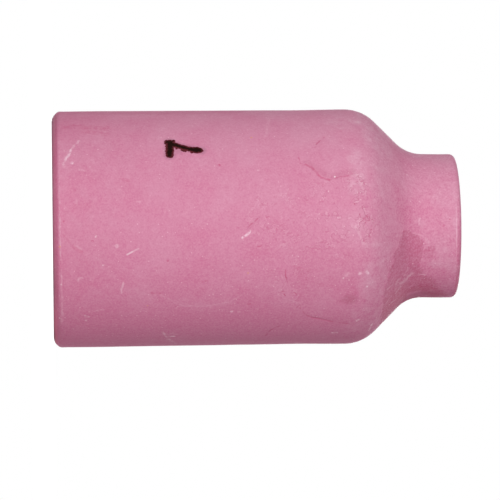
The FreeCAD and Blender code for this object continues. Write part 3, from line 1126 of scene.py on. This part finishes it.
class Surface(Wiring):
    """The nodes of one material, with the places on the nozzle that its patterns read.

    Attributes:
        solid: The place, in millimetres.
        up: Its height.
        out: Its distance from the axis.
        side: Where it lies across the picture, from -1 at the low edge to 1 at the high one.
        flat: Its height and how far round it is, with the barrel laid flat.
    """

    def __init__(self, name: str, effects: Effects, sizes: NozzleSizes) -> None:
        """Starts a material.

        Args:
            name: The material's name.
            effects: The shared groups.
            sizes: The nozzle's sizes.
        """
        self.material = bpy.data.materials.new(name)
        self.material.use_nodes = True
        super().__init__(self.material.node_tree)
        self.shader = self.tree.nodes["Principled BSDF"]
        self.effects = effects
        self.barrel = sizes.barrel
        objects = self.add("ShaderNodeTexCoord").outputs["Object"]
        self.solid = self.vector("SCALE", objects, scale=1.0 / MM)
        self.x, self.y, self.up = self.split(self.solid)
        self.out = self.vector("LENGTH", self.join(self.x, self.y))
        back_x, back_y = self.times(self.x, -1.0), self.times(self.y, -1.0)
        self.flat = self.join(self.up, self.times(self.math("ARCTAN2", back_x, back_y), self.barrel))
        self.side = self.math("DIVIDE", back_x, self.out)

    def group(self, tree: bpy.types.NodeTree, **plugs: object) -> Node:
        """Places a shared group.

        Args:
            tree: The group.
            **plugs: Values for its inputs.

        Returns:
            Its node.
        """
        node = self.add("ShaderNodeGroup", node_tree=tree)
        for name, value in plugs.items():
            self.plug(node.inputs[name.capitalize()], value)
        return node

    def clouds(self, clouds: Clouds) -> Socket:
        """Adds a cloudy noise."""
        return self.add("ShaderNodeTexNoise", {
            "Vector": self.solid, "Scale": 1.0 / clouds.size, "Detail": clouds.detail,
            "Roughness": clouds.roughness}).outputs[0]

    def grain(self, grain: Grain, factor: object = None) -> Node:
        """Adds fine grain, whose mean is 0, and may change its strength by a factor."""
        amount = grain.amount if factor is None else self.times(factor, grain.amount)
        return self.group(self.effects.grain, place=self.solid, size=grain.size, amount=amount)

    def specks(self, speckle: Speckle) -> Socket:
        """Adds scattered specks, as a mask.

        Args:
            speckle: The specks.

        Returns:
            The mask.
        """
        share = speckle.share
        if isinstance(share, Ramp):
            share = self.ramp(self.side, share)
        mask = self.group(
            self.effects.specks, place=self.solid, spacing=speckle.spacing, radius=speckle.radius, share=share)
        return self.times(mask, speckle.strength)

    def band(self, band: Band) -> Socket:
        """Masks a band of heights."""
        rising = self.ramp(self.up, Ramp(band.low - band.softness, band.low))
        return self.times(rising, self.ramp(self.up, Ramp(band.high + band.softness, band.high)))

    def shaken(self, size: float, reach: float) -> Socket:
        """Shakes the surface laid flat, so that the edges of marks are uneven.

        Args:
            size: The width of the waves.
            reach: How far places move.

        Returns:
            The shaken places.
        """
        detail, middle = 3.0, (0.5, 0.5, 0.5)
        shake = self.add("ShaderNodeTexNoise", {"Vector": self.solid, "Scale": 1.0 / size, "Detail": detail})
        shake = self.vector("SUBTRACT", shake.outputs["Color"], middle)
        return self.vector("ADD", self.flat, self.vector("SCALE", shake, scale=reach))

    def pieces(self, kind: Trace) -> Iterator[tuple[Mark, Flat, Flat]]:
        """Goes through the straight pieces of every mark of one kind.

        Args:
            kind: The kind.

        Yields:
            The mark, and where the piece starts and ends on the surface laid flat.
        """
        for mark in MARKS[kind]:
            points = [(up, math.radians(turn) * self.barrel, 0.0) for up, turn in mark.path]
            for start, end in zip(points, points[1:] or points):
                yield mark, start, end

    def marks(self, kind: Trace, place: object) -> object:
        """Lays every mark of one kind.

        Args:
            kind: The kind.
            place: Where the nozzle's surface is, laid flat.

        Returns:
            The marks' mask.
        """
        total: object = 0.0
        for mark, start, end in self.pieces(kind):
            total = self.group(
                self.effects.stroke, place=place, start=start, end=end, width=mark.width, softness=mark.softness,
                strength=mark.strength, before=total)
        return total

    def creases(self, place: object, steepness: float) -> tuple[Socket, Socket]:
        """Presses the creases into the skin. Their ramps run over the distance in widths of the crease.

        Args:
            place: Where the nozzle's surface is, laid flat.
            steepness: The slope of a full crease's walls.

        Returns:
            The creases' mask, which darkens them as painted shade, and the surface's normal with them.
        """
        far = 100.0
        dark, inner_wall, outer_wall = Ramp(1.3, 0.3), Ramp(0.0, 0.8), Ramp(2.0, 0.8)
        nearest, distance = (0.0, 0.0, 0.0), far
        for mark, start, end in self.pieces(Trace.CREASE):
            nearest, distance = self.group(
                self.effects.crease, place=place, start=start, end=end, width=mark.width, strength=mark.strength,
                before=nearest, away=distance).outputs
        up, across, strength = self.split(nearest)
        mask = self.times(self.ramp(distance, dark), strength)
        wall = self.times(self.ramp(distance, inner_wall), self.ramp(distance, outer_wall))
        slope = self.math("DIVIDE", self.times(wall, strength, -steepness), distance)
        around = self.math("DIVIDE", self.times(across, slope), self.out)
        tilt = self.join(self.times(self.y, around), self.times(self.x, around, -1.0), self.times(up, slope))
        upright = self.add("ShaderNodeNewGeometry").outputs["Normal"]
        return mask, self.vector("NORMALIZE", self.vector("ADD", upright, tilt))

    def finish(
            self, colour: object, roughness: object, specular: float, height: object,
            normal: object = None) -> bpy.types.Material:
        """Feeds the shader.

        Args:
            colour: The base colour.
            roughness: The roughness.
            specular: The specular level.
            height: The height of the fine relief, in millimetres.
            normal: The normal that the relief starts from, where it isn't the mesh's.

        Returns:
            The finished material.
        """
        plugs = {"Height": height, "Distance": MM, "Strength": 1.0}
        if normal is not None:
            plugs["Normal"] = normal
        fed = {"Base Color": colour, "Roughness": roughness, "Specular IOR Level": specular,
               "Normal": self.add("ShaderNodeBump", plugs)}
        for name, value in fed.items():
            self.plug(self.shader.inputs[name], value)
        return self.material


@dataclass(frozen=True)
class PinkAlumina:
    """The sintered ceramic: pink under a pale haze, with a fine grain, scuffs, creases and a soft lumpy skin.
    Its colour also holds painted light: a sheen in the haze, painted shade in the creases, the crackle, the lip
    and towards the low side, and painted highlights on the crackle, the lip and the rear edge.

    Fields whose names end in _by_side change across the picture, those in _by_height up the nozzle, and those in
    _by_radius with the distance from its axis.
    """

    deep: Colour = (0.65, 0.215, 0.35)
    haze_and_sheen: Colour = (0.80, 0.56, 0.66)
    bared: Colour = (0.565, 0.175, 0.285)
    # Painted shade: bare places turn to this darker colour towards the low side of the picture.
    bared_shaded_low: Colour = (0.555, 0.145, 0.245)
    # Pale rubs, dust and flecks, and also the painted highlights on the crackle, the lip and the rear edge's
    # high side.
    rub_and_highlight: Colour = (0.92, 0.68, 0.78)
    # Real stains and pits, and also the painted shade in the creases and the crackle.
    stain_and_shade: Colour = (0.59, 0.125, 0.24)
    grain_tint: Colour = (0.85, 1.2, 1.2)
    warm: Colour = (0.75, 0.36, 0.12)
    # Bright chips, and the painted light along the rear edge.
    chip_and_edge_light: Colour = (0.96, 0.84, 0.9)
    # Painted light: a lighter, redder pink on the rear edge towards the low side of the picture.
    rear_edge_light: Colour = (0.95, 0.27, 0.43)
    shaded: Colour = (0.45, 0.085, 0.17)
    soaked: Colour = (0.5, 0.52, 0.52)
    roughness: float = 0.6
    roughness_change: float = 0.08
    roughness_clouds: Clouds = Clouds(2.0)
    specular_level: float = 0.05
    haze_mid: float = 0.1
    # Painted sheen: the next three fields thicken the haze towards the high side of the picture and thin it
    # towards the low side.
    sheen_rise_by_side: Span = (-0.3, 1.0)
    sheen_high_by_height: Ramp = Ramp(2.0, 28.0, 0.15, 0.18)
    sheen_low_by_side: Ramp = Ramp(-0.95, -0.3, -0.14, 0.0)
    haze_clouds: Clouds = Clouds(3.5, 3.0)
    haze_change: float = 0.175
    neck_foot: Band = Band(36.2, 37.0, 0.9)
    neck_foot_haze: float = -0.03
    worn_clouds: Clouds = Clouds(0.9, 4.0, 0.7)
    worn_contrast: Ramp = Ramp(0.33, 0.67)
    worn_least: float = 0.82
    worn_change: float = 0.25
    # Wear on the rear edge, which is also painted shade there, fading out towards the low side of the picture.
    worn_and_shaded_rear: Band = Band(-1.0, 0.45, 0.2)
    worn_and_shaded_rear_by_side: Ramp = Ramp(-0.8, -0.5, 0.0, 0.5)
    # Painted shade on the lip's far side, strongest towards the low side of the picture.
    lip_shade: Band = Band(41.65, 43.0, 0.15)
    lip_shade_by_side: Ramp = Ramp(-0.9, 0.7, 0.75, 0.05)
    bared_shade_by_side: Ramp = Ramp(-0.55, -0.9)
    grain: Grain = Grain(0.18, 0.115)
    grain_by_height: Ramp = Ramp(30.0, 34.0, 1.0, 1.5)
    dust: Speckle = Speckle(0.42, 0.075, Ramp(0.2, -0.7, 0.28, 0.5), 0.5)
    flecks: Speckle = Speckle(0.9, 0.09, 0.12, 0.6)
    pits: Speckle = Speckle(0.8, 0.09, 0.14, 0.28)
    # Painted highlight along the lip's rounded edge.
    lip_highlight: Band = Band(41.42, 41.46, 0.06)
    lip_highlight_clouds: Clouds = Clouds(1.6)
    lip_highlight_contrast: Ramp = Ramp(0.4, 0.58)
    lip_highlight_above_by_side: Ramp = Ramp(0.5, 0.1)
    lip_highlight_below_by_side: Ramp = Ramp(-0.8, -0.2)
    lip_highlight_by_radius: Ramp = Ramp(7.0, 7.2, 0.0, 0.25)
    # The next four fields place painted light on the rounded rear edge, towards the low and the high side of the
    # picture.
    rear_light_by_height: Ramp = Ramp(0.55, 0.1)
    rear_light_by_radius: Ramp = Ramp(11.2, 11.6)
    rear_light_low_by_side: Ramp = Ramp(-0.5, -0.9, 0.0, 0.8)
    rear_light_high_by_side: Ramp = Ramp(0.65, 0.95, 0.0, 0.16)
    wobble_size: float = 0.5
    wobble: float = 0.3
    rag_size: float = 0.9
    rag: float = 0.9
    broken_clouds: Clouds = Clouds(0.35)
    broken_contrast: Ramp = Ramp(0.36, 0.6, 0.15, 1.0)
    crackle_waves: Clouds = Clouds(0.75, 2.5, 0.55)
    crackle_middle: float = 0.5
    crackle_width: float = 0.03
    crackle_clouds: Clouds = Clouds(0.9)
    crackle_contrast: Ramp = Ramp(0.42, 0.57)
    crackle_least: float = 0.2
    # The next two fields: painted shade in the crackle lines, and a painted highlight beside them.
    crackle_shade: float = 0.5
    crackle_highlight: float = 0.24
    crackle_depth: float = 0.02
    crease_slope: float = 0.3
    lumps: Clouds = Clouds(1.3, 1.5)
    lump_height: float = 0.014
    grain_relief: Grain = Grain(0.18, 0.004)

    def build(self, effects: Effects, sizes: NozzleSizes) -> bpy.types.Material:
        """Makes the material.

        Args:
            effects: The shared groups.
            sizes: The nozzle's sizes.

        Returns:
            The material.
        """
        on = Surface("pink_alumina", effects, sizes)
        wobbly = on.shaken(self.wobble_size, self.wobble)
        broken = on.ramp(on.clouds(self.broken_clouds), self.broken_contrast)
        creases, normal = on.creases(wobbly, self.crease_slope)
        crackle, crackle_lit_side = self.crackle(on)
        colour = self.ceramic(on)
        # Painted highlight: a pale line beside each crackle line.
        colour = on.blend(on.times(crackle_lit_side, self.crackle_highlight), colour, self.rub_and_highlight)
        colour = on.blend(on.times(on.marks(Trace.RUB, wobbly), broken), colour, self.rub_and_highlight)
        colour = on.blend(on.times(on.marks(Trace.STAIN, wobbly), broken), colour, self.stain_and_shade)
        # Painted shade: the creases and the crackle lines are darkened.
        dark = on.math("MAXIMUM", creases, on.times(crackle, self.crackle_shade))
        colour = on.blend(dark, colour, self.stain_and_shade)
        colour = on.blend(on.marks(Trace.SHADE, wobbly), colour, self.shaded)
        colour = on.blend(on.marks(Trace.BLEED, on.flat), colour, self.soaked, "MULTIPLY")
        # Painted light on the rounded rear edge: a lighter red towards the low side of the picture, a paler pink
        # towards the high side.
        edge = on.times(on.ramp(on.up, self.rear_light_by_height), on.ramp(on.out, self.rear_light_by_radius))
        lit_low_edge = on.times(edge, on.ramp(on.side, self.rear_light_low_by_side))
        colour = on.blend(lit_low_edge, colour, self.rear_edge_light)
        lit_high_edge = on.times(edge, on.ramp(on.side, self.rear_light_high_by_side))
        colour = on.blend(lit_high_edge, colour, self.rub_and_highlight)
        colour = on.blend(on.marks(Trace.SPECK, on.flat), colour, self.warm)
        # Bright chips, and painted light along the rear edge.
        colour = on.blend(on.marks(Trace.GLINT, on.flat), colour, self.chip_and_edge_light)
        uneven = on.centred(on.clouds(self.roughness_clouds))
        roughness = on.math("MULTIPLY_ADD", uneven, self.roughness_change, self.roughness)
        height = on.plus(on.times(on.clouds(self.lumps), self.lump_height), on.grain(self.grain_relief))
        height = on.math("MULTIPLY_ADD", crackle, -self.crackle_depth, height)
        return on.finish(colour, roughness, self.specular_level, height, normal)

    def crackle(self, on: Surface) -> tuple[Socket, Socket]:
        """Adds the fine broken lines where the fired skin is crackled: a shallow relief, darkened as painted
        shade, with a painted highlight beside it.

        Args:
            on: The material.

        Returns:
            The mask of the dark lines, painted shade, and that of the pale lines beside them, painted highlight.
        """
        waves = on.clouds(self.crackle_waves)
        broken = on.ramp(on.clouds(self.crackle_clouds), self.crackle_contrast)
        least = self.crackle_least
        shown = on.times(broken, on.math("MULTIPLY_ADD", on.marks(Trace.SKIN, on.flat), 1.0 - least, least))
        lines = []
        for middle in (self.crackle_middle, self.crackle_middle + 2 * self.crackle_width):
            away = on.math("ABSOLUTE", on.math("SUBTRACT", waves, middle))
            lines.append(on.times(on.ramp(away, Ramp(self.crackle_width, 0.0)), shown))
        return lines[0], lines[1]

    def ceramic(self, on: Surface) -> Socket:
        """Mixes the ceramic's colour from haze with its painted sheen, bare places that darken to painted shade
        towards the low side, grain, specks and the lip's painted highlight.

        Args:
            on: The material.

        Returns:
            The colour's output.
        """
        ragged = on.shaken(self.rag_size, self.rag)
        patchy = on.ramp(on.clouds(self.worn_clouds), self.worn_contrast)
        bare = self.bareness(on, ragged, patchy)
        fresh = on.times(on.marks(Trace.HAZE, ragged), patchy)
        # Painted sheen is part of the haze, and the haze's colour stands for both.
        haze = on.times(self.haze(on), on.math("SUBTRACT", 1.0, bare))
        colour = on.blend(on.share(on.plus(haze, fresh)), self.deep, self.haze_and_sheen)
        # Painted shade: bare places darken towards the low side of the picture.
        worn = on.blend(on.ramp(on.side, self.bared_shade_by_side), self.bared, self.bared_shaded_low)
        colour = on.blend(on.times(bare, on.math("SUBTRACT", 1.0, fresh)), colour, worn)
        grain = on.grain(self.grain, on.ramp(on.up, self.grain_by_height))
        colour = on.vector("ADD", colour, on.vector("SCALE", self.grain_tint, scale=grain))
        colour = on.blend(on.math("MAXIMUM", on.specks(self.dust), on.specks(self.flecks)), colour, self.rub_and_highlight)
        colour = on.blend(on.specks(self.pits), colour, self.stain_and_shade)
        # Painted highlight along the lip.
        return on.blend(self.lip_shine(on), colour, self.rub_and_highlight)

    def haze(self, on: Surface) -> Socket:
        """Spreads the haze over the whole nozzle, with a painted sheen that thickens it towards the high side of
        the picture and thins it towards the low side.

        Args:
            on: The material.

        Returns:
            How thick the haze and its painted sheen are.
        """
        high = on.ramp(on.up, self.sheen_high_by_height)
        haze = on.remap(on.side, *self.sheen_rise_by_side, self.haze_mid, high)
        clouds = on.times(on.centred(on.clouds(self.haze_clouds)), self.haze_change)
        haze = on.plus(haze, on.ramp(on.side, self.sheen_low_by_side), clouds)
        return on.math("MULTIPLY_ADD", on.band(self.neck_foot), self.neck_foot_haze, haze)

    def bareness(self, on: Surface, ragged: Socket, patchy: Socket) -> Socket:
        """Wears the haze off the marked places, and off the rear edge, where the bared colour is also painted
        shade; on the lip's far side the bared colour is painted shade.

        Args:
            on: The material.
            ragged: The surface laid flat, shaken.
            patchy: The patches that the haze wears off in.

        Returns:
            The mask of the bare places and the painted shade.
        """
        bare = on.times(on.marks(Trace.BARE, ragged),
                        on.math("MULTIPLY_ADD", patchy, self.worn_change, self.worn_least))
        # The rear edge's wear, which is also painted shade, and painted shade on the lip's far side.
        rear = on.times(on.band(self.worn_and_shaded_rear), on.ramp(on.side, self.worn_and_shaded_rear_by_side))
        lip = on.times(on.band(self.lip_shade), on.ramp(on.side, self.lip_shade_by_side))
        return on.share(on.math("MAXIMUM", bare, on.math("MAXIMUM", rear, lip)))

    def lip_shine(self, on: Surface) -> Socket:
        """Draws a painted highlight: a pale broken line along the lip's rounded edge, across the middle of the
        picture.

        Args:
            on: The material.

        Returns:
            The highlight's mask.
        """
        broken = on.ramp(on.clouds(self.lip_highlight_clouds), self.lip_highlight_contrast)
        return on.times(
            on.band(self.lip_highlight), broken, on.ramp(on.side, self.lip_highlight_above_by_side),
            on.ramp(on.side, self.lip_highlight_below_by_side), on.ramp(on.out, self.lip_highlight_by_radius))


@dataclass(frozen=True)
class FiredInk:
    """The number's ink: near black, and red-brown where it thins out at its edge."""

    core: Colour = (0.013, 0.0035, 0.002)
    edge: Colour = (0.15, 0.026, 0.036)
    edge_by_depth: Ramp = Ramp(-0.05, 0.85)
    mottle: Grain = Grain(0.2, 0.9)
    roughness: float = 0.75
    roughness_grain: Grain = Grain(0.3, 0.5)
    specular_level: float = 0.05
    relief: Grain = Grain(0.25, 0.01)

    def build(self, effects: Effects, sizes: NozzleSizes) -> bpy.types.Material:
        """Makes the material.

        Args:
            effects: The shared groups.
            sizes: The nozzle's sizes.

        Returns:
            The material.
        """
        on = Surface("fired_ink", effects, sizes)
        depth = on.add("ShaderNodeAttribute", attribute_name="ink_depth").outputs["Fac"]
        depth = on.plus(depth, on.grain(self.mottle))
        colour = on.blend(on.ramp(depth, self.edge_by_depth), self.edge, self.core)
        roughness = on.plus(on.grain(self.roughness_grain), self.roughness)
        return on.finish(colour, roughness, self.specular_level, on.grain(self.relief))


@dataclass(frozen=True)
class SoftLight:
    """One soft box.

    Attributes:
        name: Its name.
        turn: Its turn round the nozzle, in degrees from the side that faces the camera.
        rise: Its angle above the horizon, in degrees.
        distance: How far it stands from the nozzle's middle.
        width: Its width and height.
        brightness: How bright it makes a white surface that faces it, where 1 is white.
    """

    name: str
    turn: float
    rise: float
    distance: float
    width: float
    brightness: float

    def build(self, target: Vector) -> bpy.types.Object:
        """Sets up the lamp.

        Args:
            target: What it points at, in metres.

        Returns:
            The lamp's object.
        """
        lamp = bpy.data.lights.new(self.name, "AREA")
        lamp.shape = "RECTANGLE"
        lamp.size = lamp.size_y = self.width * MM
        lamp.energy = self.brightness * (math.pi * self.distance * MM) ** 2
        turn, rise = math.radians(self.turn), math.radians(self.rise)
        away = Vector((-math.sin(turn) * math.cos(rise), -math.cos(turn) * math.cos(rise), math.sin(rise)))
        holder = put_in_scene(self.name, lamp)
        holder.location = target + away * self.distance * MM
        holder.rotation_euler = away.to_track_quat("Z", "Y").to_euler()
        return holder


@dataclass
class Studio:
    """The white studio: floor, world, soft boxes, and the camera at the photograph's viewing angle.

    Attributes:
        distance: How far in front of the camera the nozzle's middle is.
        yaw: The angle at which the nozzle's tip points away from the camera.
        roll: The angle at which the nozzle's axis rises in the picture.
        middle_right, middle_up: How far right of and above the camera's own axis the nozzle's middle is.
        floor_gap: How far the floor lies below the rear face.
        floor_glow: How brightly the floor glows where it is seen as background.
    """

    sizes: NozzleSizes
    lens: float = 266.4
    sensor: float = 36.0
    clip: Span = (10.0, 10000.0)
    distance: float = 386.5
    yaw: float = math.radians(3.042)
    roll: float = math.radians(0.606)
    middle_right: float = 0.415
    middle_up: float = 2.351
    floor_width: float = 4000.0
    floor_gap: float = 0.01
    floor_colour: Colour = (0.9, 0.9, 0.9)
    floor_glow: float = 0.66
    ambient: float = 0.23
    white: Colour = (1.0, 1.0, 1.0)
    lights: tuple[SoftLight, ...] = (
        SoftLight("key", 12.2, 7.0, 600.0, 260.0, 0.81),
        SoftLight("back", -155.0, 45.0, 600.0, 300.0, 0.22),
        SoftLight("behind", 180.0, 12.0, 600.0, 240.0, 0.3),
    )

    def camera(self) -> bpy.types.Object:
        """Sets up the camera, whose picture shows the nozzle lying on its side.

        Returns:
            The camera's object.
        """
        axis = Vector((math.cos(self.yaw) * math.cos(self.roll), math.cos(self.yaw) * math.sin(self.roll),
                       -math.sin(self.yaw)))
        across = Vector((-math.sin(self.roll), math.cos(self.roll), 0.0))
        toward = axis.cross(across)
        turned = Matrix((-across, -toward, axis))
        middle = Vector((0.0, 0.0, self.sizes.length / 2))
        seen_at = Vector((self.middle_right, self.middle_up, -self.distance))
        data = bpy.data.cameras.new("camera")
        data.lens, data.sensor_width = self.lens, self.sensor
        data.clip_start, data.clip_end = (end * MM for end in self.clip)
        holder = put_in_scene("camera", data)
        holder.matrix_world = Matrix.Translation((middle - turned @ seen_at) * MM) @ turned.to_4x4()
        bpy.context.scene.camera = holder
        return holder

    @staticmethod
    def background_seen(wires: Wiring) -> Socket:
        """Tells the rays that look at the background, straight or in a reflection, from those that carry light.

        Args:
            wires: The wiring of the floor's or the world's nodes.

        Returns:
            Its output, 1 for a ray that looks at the background.
        """
        rays = wires.add("ShaderNodeLightPath").outputs
        mirrored = wires.math("MAXIMUM", rays["Is Glossy Ray"], rays["Is Transmission Ray"])
        return wires.math("MAXIMUM", rays["Is Camera Ray"], mirrored)

    def floor(self) -> bpy.types.Object:
        """Lays the pale floor that the nozzle stands on.

        Returns:
            The floor's object.
        """
        reach = self.floor_width / 2 * MM
        ways = ((-1, -1), (1, -1), (1, 1), (-1, 1))
        mesh = bpy.data.meshes.new("floor")
        mesh.from_pydata([(x * reach, y * reach, -self.floor_gap * MM) for x, y in ways], [], [(0, 1, 2, 3)])
        material = bpy.data.materials.new("pale_floor")
        material.use_nodes = True
        wires = Wiring(material.node_tree)
        fed = {"Base Color": (*self.floor_colour, 1.0), "Roughness": 1.0, "Specular IOR Level": 0.0,
               "Emission Color": (*self.white, 1.0),
               "Emission Strength": wires.times(self.background_seen(wires), self.floor_glow)}
        for name, value in fed.items():
            wires.plug(material.node_tree.nodes["Principled BSDF"].inputs[name], value)
        mesh.materials.append(material)
        floor = put_in_scene("floor", mesh)
        return floor

    def world(self) -> None:
        """Fills the surroundings with even light, which the camera sees as plain white."""
        world = bpy.data.worlds.new("studio")
        world.use_nodes = True
        bpy.context.scene.world = world
        wires = Wiring(world.node_tree)
        colour = wires.blend(self.background_seen(wires), (self.ambient,) * 3, self.white)
        wires.plug(world.node_tree.nodes["Background"].inputs["Color"], colour)

    def build(self) -> None:
        """Sets up the whole studio."""
        self.camera()
        self.floor()
        self.world()
        for light in self.lights:
            light.build(Vector((0.0, 0.0, self.sizes.length / 2 * MM)))
        bpy.context.scene.view_settings.view_transform = "Standard"


def report(piece: bpy.types.Object) -> None:
    """Logs a finished piece, with its volume, which is more than 0 where its faces point outwards."""
    volume = outward_volume(piece.data) / MM ** 3
    log.info("%s: %d faces, %.3f mm3", piece.name, len(piece.data.polygons), volume)


def main() -> None:
    """Builds the pieces in order, and reports each one."""
    logging.basicConfig(level=logging.INFO, format="%(message)s")
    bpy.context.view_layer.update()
    sizes = NozzleSizes.from_frame(frame["record"])
    effects = Effects()
    body = GasNozzle(sizes).build(PinkAlumina().build(effects, sizes))
    report(body)
    number = SizeNumber(sizes).build(body, FiredInk().build(effects, sizes))
    report(number)
    Studio(sizes).build()


if __name__ == "__main__":
    main()
